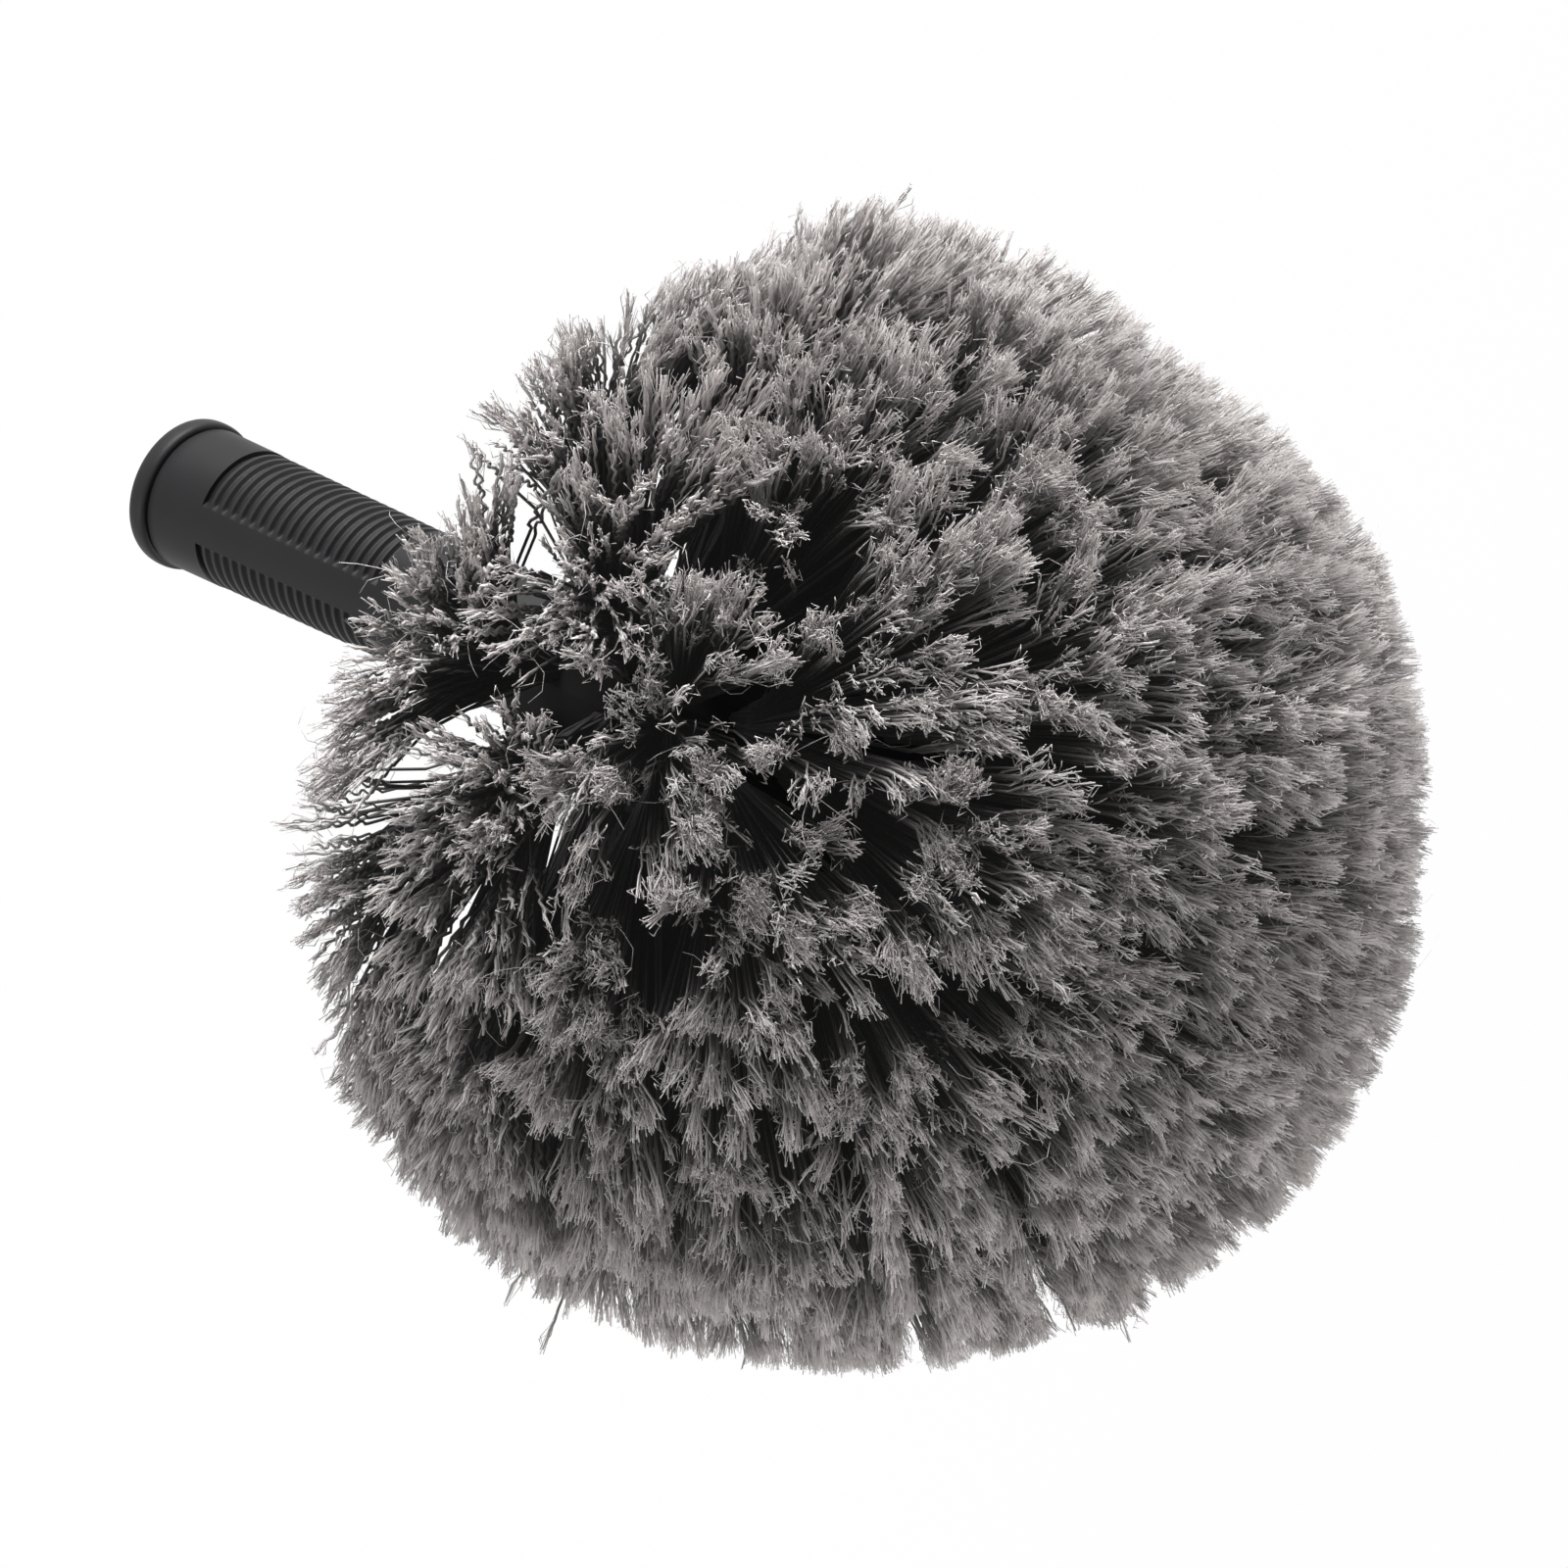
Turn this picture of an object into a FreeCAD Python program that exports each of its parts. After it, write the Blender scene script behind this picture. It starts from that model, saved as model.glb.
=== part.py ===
import FreeCAD
import Part
import math
import os

Vector = FreeCAD.Vector

# Lengths are in millimetres and angles in degrees.
# The brush stands on its socket mouth with its axis along +Z and the ball at the top.

# Socket handle, a tapered tube with a bead round its mouth
handle_length = 104.0
handle_mouth_diameter = 29.4
handle_front_diameter = 26.0
front_edge_chamfer = 0.8
bead_diameter = 31.2
bead_width = 4.6
bead_mouth_chamfer = 1.2

# Pole bore, the pocket that takes the screw head, and the bulkhead behind the core
pole_diameter = 22.0
pole_clearance = 0.2
pole_bore_depth = 52.0
screw_pocket_depth = 6.0
screw_pocket_clearance = 1.2
bulkhead_thickness = 5.0

# Grip panels of narrow ribs between ring-shaped grooves, with a smooth strip between panels
panel_count = 2
panel_angle = 149.0
panel_start_height = 18.5
panel_drop = 0.2
groove_count = 19
groove_pitch = 2.5
groove_width = 1.55
groove_depth = 0.85

# Core that the tufts are set in, with a keyed spigot in the front of the handle
core_diameter = 38.0
core_body_length = 63.0
spigot_diameter = 19.6
spigot_clearance = 0.1
spigot_end_gap = 0.6
spigot_lead_in = 1.0
key_width = 4.0
key_height = 1.1

# Screw and washer that pull the core into the handle
screw_diameter = 4.4
screw_clearance = 0.1
screw_length = 32.0
screw_tip_length = 4.0
screw_end_gap = 2.0
screw_head_diameter = 9.0
screw_head_height = 3.2
recess_span = 4.6
recess_width = 1.0
recess_depth = 1.6
washer_diameter = 12.6
washer_thickness = 1.2

# Ball that the tufts are trimmed to, about the centre of the core's dome
ball_diameter = 195.0

# Tuft holes, in rings from the tip back: on the dome by angle, then on the body by pitch
dome_ring_counts = (1, 5, 10)
dome_ring_angle = 30.0
body_ring_count = 5
tufts_per_body_ring = 10
last_ring_margin = 9.0
tuft_tilts = (0.0, 11.5, 23.5, 36.5, 48.0, 57.5, 65.5, 72.0)
hole_width = 4.6
hole_depth = 9.0
hole_sides = 6

# Tufts, each a bundle that flares from its hole to its own patch of the ball, with a crowned tip
tuft_clearance = 0.15
tuft_floor_gap = 0.3
tuft_collar = 0.5
tip_spread = 20.0
tip_fill_share = 0.95
tip_crown = 6.0

# Flat wire anchors that hold the folded tufts in their holes
anchor_width = 2.0
anchor_thickness = 0.4
anchor_floor_gap = 1.8
anchor_end_gap = 0.1
anchor_slot_gap = 0.1

# Sizes that follow from the ones above
pole_bore_radius = pole_diameter / 2 + pole_clearance
pocket_radius = washer_diameter / 2 + screw_pocket_clearance
pocket_end = pole_bore_depth + screw_pocket_depth
bulkhead_end = pocket_end + bulkhead_thickness
spigot_radius = spigot_diameter / 2
spigot_end = bulkhead_end + spigot_end_gap
screw_hole_radius = screw_diameter / 2 + screw_clearance
screw_seat = pocket_end - washer_thickness
core_radius = core_diameter / 2
dome_height = handle_length + core_body_length
ball_centre = Vector(0, 0, dome_height)
ball_radius = ball_diameter / 2
hole_radius = hole_width / 2 / math.cos(math.pi / hole_sides)
core_flats = 2 * tufts_per_body_ring
body_ring_pitch = (core_body_length - last_ring_margin) / (body_ring_count - 1)
ring_counts = dome_ring_counts + (tufts_per_body_ring,) * body_ring_count
tuft_places = [(ring, i) for ring, count in enumerate(ring_counts) for i in range(count)]
axis_point = Vector(0, 0, 0)
axis_way = Vector(0, 0, 1)


def handle_radius(height):
    taper = (handle_front_diameter - handle_mouth_diameter) / handle_length
    return (handle_mouth_diameter + taper * height) / 2


def on_plane(radius, height):
    return Vector(radius, 0, height)


def flat(points):
    return Part.Face(Part.makePolygon(points + points[:1]))


def turned(points, angle=360.0):
    return flat(points).revolve(axis_point, axis_way, angle)


def box_at(size_x, size_y, size_z, x_middle, z_start):
    corner = Vector(x_middle - size_x / 2, -size_y / 2, z_start)
    return Part.makeBox(size_x, size_y, size_z, corner)


def spaced(shape, count, first_angle=0.0):
    copies = []
    for index in range(count):
        copy = shape.copy()
        copy.rotate(axis_point, axis_way, first_angle + index * 360.0 / count)
        copies.append(copy)
    return copies


# Socket handle
def handle_body():
    bead = bead_diameter / 2
    body = handle_radius(bead_width)
    front = handle_radius(handle_length)
    socket = spigot_radius + spigot_clearance
    return turned(
        [
            on_plane(bead - bead_mouth_chamfer, 0),
            on_plane(bead, bead_mouth_chamfer),
            on_plane(bead, bead_width - (bead - body)),
            on_plane(body, bead_width),
            on_plane(front, handle_length - front_edge_chamfer),
            on_plane(front - front_edge_chamfer, handle_length),
            on_plane(socket, handle_length),
            on_plane(socket, bulkhead_end),
            on_plane(screw_hole_radius, bulkhead_end),
            on_plane(screw_hole_radius, pocket_end),
            on_plane(pocket_radius, pocket_end),
            on_plane(pocket_radius, pole_bore_depth),
            on_plane(pole_bore_radius, pole_bore_depth),
            on_plane(pole_bore_radius, 0),
        ]
    )


# The room outside one grip panel, down to its ribs and the grooves between them
def panel_tool():
    def crest(height):
        return on_plane(handle_radius(height) - panel_drop, height)

    end = panel_start_height + (groove_count - 1) * groove_pitch + groove_width
    points = [on_plane(bead_diameter, panel_start_height)]
    for index in range(groove_count):
        start = panel_start_height + index * groove_pitch
        floor = crest(start + groove_width / 2) - on_plane(groove_depth, 0)
        points += [crest(start), floor, crest(start + groove_width)]
    return turned(points + [on_plane(bead_diameter, end)], panel_angle)


def socket_handle():
    strip_angle = 360.0 / panel_count - panel_angle
    tools = spaced(panel_tool(), panel_count, strip_angle / 2)
    key_room = box_at(
        2 * (spigot_radius + key_height + spigot_clearance),
        key_width + 2 * spigot_clearance,
        handle_length - bulkhead_end,
        0,
        bulkhead_end,
    )
    return handle_body().cut(tools + [key_room])


# Where a ring's holes open on the core: radius, height and the tilt of the surface there
def ring_mouth(ring):
    dome_rings = len(dome_ring_counts)
    if ring < dome_rings:
        angle = math.radians(ring * dome_ring_angle)
        height = dome_height + core_radius * math.cos(angle)
        return core_radius * math.sin(angle), height, angle
    height = dome_height - (ring - dome_rings) * body_ring_pitch
    return core_radius, height, math.pi / 2


# One tuft's mouth, its three directions and how far its hole leans from the surface
def tuft_seat(ring, index):
    radius, height, surface_tilt = ring_mouth(ring)
    tilt = math.radians(tuft_tilts[ring])
    turn = 2 * math.pi * (index + (ring % 2) / 2) / ring_counts[ring]
    out = Vector(math.cos(turn), math.sin(turn), 0)
    mouth = out * radius + axis_way * height
    along = out * math.sin(tilt) + axis_way * math.cos(tilt)
    across = axis_way.cross(out)
    return mouth, along, across, along.cross(across), surface_tilt - tilt


def reach_to_ball(start, way):
    gap = start - ball_centre
    half = gap.dot(way)
    return math.sqrt(half * half - gap.dot(gap) + ball_radius * ball_radius) - half


def tuft_tip(ring, index):
    mouth, along = tuft_seat(ring, index)[:2]
    return mouth + along * reach_to_ball(mouth, along)


# A tuft spreads freely, but no further than half-way to another tuft's tip.
def tip_room(ring, index, way):
    here = tuft_tip(ring, index)
    gaps = [tuft_tip(r, i) - here for r, i in tuft_places]
    rooms = [gap.dot(gap) / (2 * gap.dot(way)) for gap in gaps if gap.dot(way) > 0]
    return min(rooms + [tip_spread])


# Corners of a level of the core, whose flats lie at the given distance from the axis
def core_level(distance, height):
    radius = distance / math.cos(math.pi / core_flats)
    turns = [math.pi * (2 * flank + 1) / core_flats for flank in range(core_flats)]
    return [Vector(radius * math.cos(t), radius * math.sin(t), height) for t in turns]


def skin(levels):
    count = len(levels[0])
    faces = [flat(levels[0]), flat(levels[-1])]
    for low, high in zip(levels, levels[1:]):
        for side in range(count):
            after = (side + 1) % count
            faces.append(flat([low[side], low[after], high[after], high[side]]))
    return closed(faces)


def closed(faces):
    shell = Part.Shell(faces)
    shell.sewShape()
    solid = Part.Solid(shell)
    return solid if solid.Volume > 0 else solid.reversed()


# Each column of holes opens on a flat, and the dome has a sloping band for each of its rings.
def core_block():
    half_band = math.radians(dome_ring_angle / 2)
    corner = core_radius / math.cos(half_band)
    levels = [core_level(core_radius, handle_length)]
    for ring in reversed(range(len(dome_ring_counts))):
        angle = (2 * ring + 1) * half_band
        height = dome_height + corner * math.cos(angle)
        levels.append(core_level(corner * math.sin(angle), height))
    return skin(levels)


def spigot():
    return turned(
        [
            on_plane(0, handle_length),
            on_plane(spigot_radius, handle_length),
            on_plane(spigot_radius, spigot_end + spigot_lead_in),
            on_plane(spigot_radius - spigot_lead_in, spigot_end),
            on_plane(0, spigot_end),
        ]
    )


# How far the lip of a leaning hole stands above the middle of its mouth
def lip_rise(lean):
    return hole_radius * math.tan(abs(lean)) + tuft_collar


def corner_ways(first, second):
    turns = [2 * math.pi * side / hole_sides for side in range(hole_sides)]
    return [first * math.cos(turn) + second * math.sin(turn) for turn in turns]


def hole_tool(ring, index):
    mouth, along, across, down, lean = tuft_seat(ring, index)
    foot = mouth - along * hole_depth
    base = flat([foot + way * hole_radius for way in corner_ways(across, down)])
    return base.extrude(along * (hole_depth + lip_rise(lean) + hole_radius))


def tuft_core():
    key_start = spigot_end + spigot_lead_in
    key_span = 2 * (spigot_radius + key_height)
    key = box_at(key_span, key_width, handle_length - key_start, 0, key_start)
    pilot_length = screw_seat + screw_length + screw_end_gap - spigot_end
    pilot = Part.makeCylinder(screw_hole_radius, pilot_length, Vector(0, 0, spigot_end))
    holes = [hole_tool(ring, index) for ring, index in tuft_places]
    return core_block().fuse([spigot(), key]).removeSplitter().cut(holes + [pilot])


# A solid bounded by the foot in the hole, the neck at its lip, and the trimmed rim and tip
def bundle(foot, neck, rim, tip):
    faces = [flat(foot)]
    for side in range(hole_sides):
        after = (side + 1) % hole_sides
        faces.append(flat([foot[side], foot[after], neck[after], neck[side]]))
        faces.append(flat([neck[side], neck[after], rim[after]]))
        faces.append(flat([neck[side], rim[after], rim[side]]))
        faces.append(flat([rim[side], rim[after], tip]))
    return closed(faces)


# A flat box across the foot of a hole: the anchor, or the slot that it lies in
def anchor_box(ring, index, length, thickness, width):
    mouth, along, across, down, _ = tuft_seat(ring, index)
    rise = anchor_floor_gap + anchor_width / 2 - hole_depth
    box = Part.makeBox(length, thickness, width, Vector(-length / 2, -thickness / 2, -width / 2))
    turn = FreeCAD.Rotation(down, along.cross(down), along, "ZXY")
    box.Placement = FreeCAD.Placement(mouth + along * rise, turn)
    return box


def below_ball(point, depth):
    return ball_centre + (point - ball_centre).normalize() * (ball_radius - depth)


def tuft(ring, index):
    mouth, along, across, down, lean = tuft_seat(ring, index)
    foot_radius = hole_radius - tuft_clearance
    tip = tuft_tip(ring, index)
    slope = (tip - ball_centre).normalize().cross(across)
    foot_middle = mouth - along * (hole_depth - tuft_floor_gap)
    neck_middle = mouth + along * lip_rise(lean)
    ways = corner_ways(across, down)
    foot = [foot_middle + way * foot_radius for way in ways]
    neck = [neck_middle + way * foot_radius for way in ways]
    rim = []
    for way in corner_ways(across, slope):
        edge = tip + way * tip_fill_share * tip_room(ring, index, way)
        rim.append(below_ball(edge, tip_crown))
    solid = bundle(foot, neck, rim, tip)
    slot = anchor_box(
        ring,
        index,
        hole_width,
        anchor_thickness + 2 * anchor_slot_gap,
        anchor_width + 2 * anchor_slot_gap,
    )
    return solid.cut(slot)


def anchor(ring, index):
    length = hole_width - 2 * anchor_end_gap
    return anchor_box(ring, index, length, anchor_thickness, anchor_width)


# Screw with a cross recess in its head
def fixing_screw():
    shank = screw_diameter / 2
    head = screw_head_diameter / 2
    tip = screw_seat + screw_length
    head_end = screw_seat - screw_head_height
    body = turned(
        [
            on_plane(0, head_end),
            on_plane(head, head_end),
            on_plane(head, screw_seat),
            on_plane(shank, screw_seat),
            on_plane(shank, tip - screw_tip_length),
            on_plane(0, tip),
        ]
    )
    slot = box_at(recess_span, recess_width, recess_depth, 0, head_end)
    cross_slot = box_at(recess_width, recess_span, recess_depth, 0, head_end)
    return body.cut([slot, cross_slot])


def screw_washer():
    start = Vector(0, 0, screw_seat)
    disc = Part.makeCylinder(washer_diameter / 2, washer_thickness, start)
    return disc.cut(Part.makeCylinder(screw_hole_radius, washer_thickness, start))


def ring_of(piece, ring):
    return Part.makeCompound([piece(ring, index) for index in range(ring_counts[ring])])


nodes = {
    "socket_handle": socket_handle(),
    "tuft_core": tuft_core(),
    "fixing_screw": fixing_screw(),
    "screw_washer": screw_washer(),
    "tip_tuft": tuft(0, 0),
    "tip_anchor": anchor(0, 0),
}
for ring in range(1, len(ring_counts)):
    nodes["tuft_ring_%d" % ring] = ring_of(tuft, ring)
    nodes["anchor_ring_%d" % ring] = ring_of(anchor, ring)

os.makedirs("parts", exist_ok=True)
for name, shape in nodes.items():
    shape.exportStep("parts/%s.step" % name)
    print(name, len(shape.Solids), "solids", shape.isValid(), round(shape.Volume, 1))
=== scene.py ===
import math

import bpy
import numpy as np
from mathutils import Matrix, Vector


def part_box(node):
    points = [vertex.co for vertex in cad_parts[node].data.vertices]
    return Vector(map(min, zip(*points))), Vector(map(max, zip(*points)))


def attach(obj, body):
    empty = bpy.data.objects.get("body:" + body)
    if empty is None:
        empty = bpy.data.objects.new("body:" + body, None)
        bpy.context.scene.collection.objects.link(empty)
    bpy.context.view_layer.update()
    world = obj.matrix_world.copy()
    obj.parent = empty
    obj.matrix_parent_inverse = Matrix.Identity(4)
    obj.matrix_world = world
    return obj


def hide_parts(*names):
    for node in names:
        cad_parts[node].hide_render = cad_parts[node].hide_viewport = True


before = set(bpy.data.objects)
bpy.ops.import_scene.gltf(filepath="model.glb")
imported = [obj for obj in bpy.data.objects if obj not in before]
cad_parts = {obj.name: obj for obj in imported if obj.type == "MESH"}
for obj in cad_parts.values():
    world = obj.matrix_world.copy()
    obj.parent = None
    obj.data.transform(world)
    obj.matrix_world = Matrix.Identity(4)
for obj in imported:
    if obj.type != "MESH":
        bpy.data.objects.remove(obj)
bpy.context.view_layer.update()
print("frame loaded,", len(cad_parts), "nodes")

# The ball is trimmed about the centre of the core's dome.
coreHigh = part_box("tuft_core")[1]
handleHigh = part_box("socket_handle")[1]
coreRadius = coreHigh.x
domeHeight = coreHigh.z - coreRadius
ballCentre = np.array((0.0, 0.0, domeHeight))
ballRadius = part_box("tip_tuft")[1].z - domeHeight


# Shader maths

class Wire:
    # one output of a material's nodes; sums and products of wires add Math nodes
    def __init__(self, tree, socket=None):
        self.tree = tree
        self.socket = socket

    # any node: its settings first, then the values or links of its sockets
    def node(self, kind, settings=None, inputs=None, output=0):
        made = self.tree.nodes.new(kind)
        for name, value in (settings or {}).items():
            if name == "stops":
                self.setStops(made.color_ramp.elements, value)
            else:
                setattr(made, name, value)
        for name, value in (inputs or {}).items():
            if isinstance(value, Wire):
                self.tree.links.new(value.socket, made.inputs[name])
            else:
                made.inputs[name].default_value = value
        return Wire(self.tree, made.outputs[output] if len(made.outputs) else None)

    def setStops(self, elements, stops):
        for spare in range(len(stops) - len(elements)):
            elements.new(0.5)
        for element, (place, colour) in zip(elements, stops):
            element.position = place
            element.color = colour

    def out(self, name):
        return Wire(self.tree, self.socket.node.outputs[name])

    def maths(self, operation, first, second):
        return self.node("ShaderNodeMath", {"operation": operation}, {0: first, 1: second})

    # the mix node's two colours are its sockets 6 and 7, and the mixed colour is its output 2
    def mixed(self, amount, first, second, way="MIX"):
        settings = {"data_type": "RGBA", "blend_type": way}
        return self.node("ShaderNodeMix", settings, {0: amount, 6: first, 7: second}, 2)

    def __add__(self, other):
        return self.maths("ADD", self, other)

    def __radd__(self, other):
        return self.maths("ADD", other, self)

    def __sub__(self, other):
        return self.maths("SUBTRACT", self, other)

    def __rsub__(self, other):
        return self.maths("SUBTRACT", other, self)

    def __mul__(self, other):
        return self.maths("MULTIPLY", self, other)

    def __rmul__(self, other):
        return self.maths("MULTIPLY", other, self)


def newMaterial(name):
    material = bpy.data.materials.new(name)
    material.use_nodes = True
    material.node_tree.nodes.clear()
    return material, Wire(material.node_tree)


def grey(value, warmth=0.0):
    return (value * (1 + warmth), value, value * (1 - warmth), 1.0)


def noiseOn(wires, place, scale, detail=2.0):
    return wires.node(
        "ShaderNodeTexNoise", None, {"Vector": place, "Scale": scale, "Detail": detail}
    ).out(0)


# Black moulded plastic: grain in the skin, faint mottling, and rubbed crests
def mouldedPlastic(name, look):
    material, wires = newMaterial(name)
    place = wires.node("ShaderNodeTexCoord").out("Object")
    mottle = noiseOn(wires, place, look["mottleScale"])
    grain = noiseOn(wires, place, look["grainScale"], 3.0)
    rub = wires.node("ShaderNodeAttribute", {"attribute_name": "rub"}).out("Fac")
    dust = wires.mixed(mottle, look["dark"], look["light"])
    colour = wires.mixed(rub * look["rubAmount"] * (look["rubLeast"] + mottle), dust, look["rubbed"])
    bump = wires.node(
        "ShaderNodeBump",
        None,
        {"Strength": look["grainStrength"], "Distance": look["grainDepth"], "Height": grain},
    )
    surface = wires.node(
        "ShaderNodeBsdfPrincipled",
        None,
        {
            "Base Color": colour,
            "Roughness": look["roughness"] + look["dullPatches"] * mottle - look["rubGloss"] * rub,
            "Normal": bump,
            "Specular IOR Level": look["specular"],
            # painted glow where a look gives one: emission that stands in for light passed on from round
            # about
            "Emission Color": look["glow"],
            "Emission Strength": 1.0,
        },
    )
    wires.node("ShaderNodeOutputMaterial", None, {"Surface": surface})
    return material


# Drawn metal: fine streaks along one axis and dull patches
def drawnMetal(name, look):
    material, wires = newMaterial(name)
    place = wires.node("ShaderNodeTexCoord").out("Object")
    stretched = wires.node(
        "ShaderNodeMapping", None, {"Vector": place, "Scale": look["streakScale"]}
    )
    streak = noiseOn(wires, stretched, 1.0, 3.0)
    patch = noiseOn(wires, place, look["patchScale"])
    surface = wires.node(
        "ShaderNodeBsdfPrincipled",
        None,
        {
            "Base Color": wires.mixed(patch, look["dark"], look["light"]),
            "Metallic": 1.0,
            "Roughness": look["roughness"] + look["dullStreaks"] * streak,
        },
    )
    wires.node("ShaderNodeOutputMaterial", None, {"Surface": surface})
    return material


# Crimped filament: its map runs root to tip upwards and from dark to pale filaments across
filamentLook = {
    # painted shade: the shafts darken towards the root to stand in for the shade deep in the dense tufts;
    # the pale split ends are the fibres' own paler colour
    "stops": (
        (0.00, grey(0.045)),
        (0.73, grey(0.055)),
        (0.84, grey(0.080)),
        (0.89, grey(0.150)),
        (0.93, grey(0.320)),
        (0.96, grey(0.550)),
        (1.00, grey(0.660)),
    ),
    "glow": grey(0.0045, 0.02),  # painted glow: emission that stands in for the light that the close filaments pass on to one another
    "toneRange": (0.78, 0.42),  # least share of the colour, and the range above it
    "streakScale": (90.0, 26.0, 1.0),
    "streakRange": (0.8, 0.4),
    "warm": (1.09, 1.0, 0.96, 1.0),
    "cool": (1.01, 0.99, 1.0, 1.0),
    "roughness": 0.62,
    "specular": 0.25,
}


def filamentMaterial(look):
    material, wires = newMaterial("crimpedFilament")
    place = wires.node("ShaderNodeUVMap", {"uv_map": "OFBake"})
    parts = wires.node("ShaderNodeSeparateXYZ", None, {"Vector": place})
    tone, along = parts.out("X"), parts.out("Y")
    # the ramp darkens the shafts towards the root as painted shade, and pales at the split ends in the
    # fibres' own colour
    ramp = wires.node("ShaderNodeValToRGB", {"stops": look["stops"]}, {"Fac": along})
    fine = wires.node(
        "ShaderNodeMapping", None, {"Vector": place, "Scale": look["streakScale"]}
    )
    streak = noiseOn(wires, fine, 1.0, 2.0)
    toneLow, toneSpan = look["toneRange"]
    streakLow, streakSpan = look["streakRange"]
    shade = (toneLow + toneSpan * tone) * (streakLow + streakSpan * streak)
    tint = wires.mixed(streak, look["warm"], look["cool"])
    colour = wires.mixed(1.0, wires.mixed(1.0, ramp, shade, "MULTIPLY"), tint, "MULTIPLY")
    surface = wires.node(
        "ShaderNodeBsdfPrincipled",
        None,
        {
            "Base Color": colour,
            "Roughness": look["roughness"],
            "Specular IOR Level": look["specular"],
            # painted glow: a faint emission stands in for light passed on between the filaments
            "Emission Color": look["glow"],
            "Emission Strength": 1.0,
        },
    )
    wires.node("ShaderNodeOutputMaterial", None, {"Surface": surface})
    return material


# Mesh from arrays

def meshPiece(name, vertices, faces, material, nodes, uvs=None, rub=None):
    # faces are arrays of quads and of triangles, and uvs follow their corners
    corners = np.concatenate([part.ravel() for part in faces])
    sizes = np.concatenate([np.full(len(part), part.shape[1]) for part in faces])
    starts = np.concatenate(([0], np.cumsum(sizes)[:-1]))
    mesh = bpy.data.meshes.new(name)
    mesh.vertices.add(len(vertices))
    mesh.loops.add(len(corners))
    mesh.polygons.add(len(sizes))
    mesh.vertices.foreach_set("co", vertices.astype(np.float32).ravel())
    mesh.loops.foreach_set("vertex_index", corners.astype(np.int32))
    mesh.polygons.foreach_set("loop_start", starts.astype(np.int32))
    mesh.polygons.foreach_set("use_smooth", np.ones(len(sizes), bool))
    if uvs is not None:
        layer = mesh.uv_layers.new(name="OFBake")
        layer.uv.foreach_set("vector", uvs.astype(np.float32).ravel())
    if rub is not None:
        worn = mesh.attributes.new("rub", "FLOAT", "POINT")
        worn.data.foreach_set("value", rub.astype(np.float32))
    mesh.update(calc_edges=True)
    mesh.validate()
    mesh.materials.append(material)
    piece = bpy.data.objects.new(name, mesh)
    bpy.context.scene.collection.objects.link(piece)
    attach(piece, "root")
    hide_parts(*nodes)
    return piece


def smoothStep(low, high, value):
    # three squared less two cubed of the share of the way from low to high
    share = np.clip((value - low) / (high - low), 0.0, 1.0)
    return share * share * (3 - 2 * share)


def unit(vectors):
    return vectors / np.linalg.norm(vectors, axis=-1, keepdims=True)


# Socket handle, in millimetres until its mesh is made
millimetre = 0.001
handleShape = {
    "length": handleHigh.z / millimetre,
    "mouthRadius": 14.7,
    "frontRadius": 13.0,
    "beadRadius": 15.6,
    "beadWidth": 4.4,
    "beadRoot": 14.15,
    "beadRows": 15,
    "beadSquare": (0.8, 0.55),  # powers that square off the bead's height and its rise
    "beadRub": 0.7,
    "beadRubFrom": 0.55,  # share of the bead's rise where the rubbing starts
    "creaseEnd": 5.1,
    "panelStart": 18.5,
    "panelEnd": 65.05,
    "panelDrop": 0.12,
    "ribFirst": 20.525,
    "ribPitch": 2.5,
    "ribCount": 18,
    "ribHalfFlat": 0.28,
    "ribHalfFoot": 1.05,
    "grooveDepth": 0.8,
    "stripHalfAngle": 15.5,
    "stripEdge": 0.45,
    "softEdge": 7.0,  # degrees over which the grooves fade out on one side of each strip
    "columns": 160,
    "bandRows": 6,
    "frontRows": 12,
    "edgeStep": 0.06,  # between the rows at the ends of the panels
    "sharpAngle": 40.0,  # degrees from which an edge is drawn sharp
    "frontRound": 0.8,
    "boreRadius": 11.2,
    "boreDepth": 52.0,
    "mouthChamfer": 0.6,
    "pocketRadius": 7.5,
    "pocketDepth": 6.0,
    "bulkhead": 5.0,
    "screwHole": 2.3,
    "socketRadius": 9.9,
    "socketMiddle": 20.0,  # how far down the socket its middle row lies
    "keyHalfWidth": 2.1,
    "keyReach": 11.0,
}


def handleRows(shape):
    # heights up the outside, close together where a rib rises or falls
    offsets = np.array((-1.0, -0.8, -0.6, -0.37, 0.0, 0.37, 0.6, 0.8, 1.0)) * shape["ribHalfFoot"]
    centres = shape["ribFirst"] + shape["ribPitch"] * np.arange(shape["ribCount"])
    ribs = (centres[:, None] + offsets).ravel()
    edges = np.array([shape["panelStart"], shape["panelEnd"]])
    edges = (edges[:, None] + np.array((-2, -1, 1, 2)) * shape["edgeStep"]).ravel()
    band = np.linspace(shape["creaseEnd"], shape["panelStart"] - 1, shape["bandRows"])
    frontEnd = shape["length"] - shape["frontRound"]
    front = np.linspace(shape["panelEnd"] + 1, frontEnd, shape["frontRows"])
    return np.sort(np.concatenate((ribs, edges, band, front)))


def bodyRadius(shape, height):
    taper = (shape["frontRadius"] - shape["mouthRadius"]) / shape["length"]
    return shape["mouthRadius"] + taper * height


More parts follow.
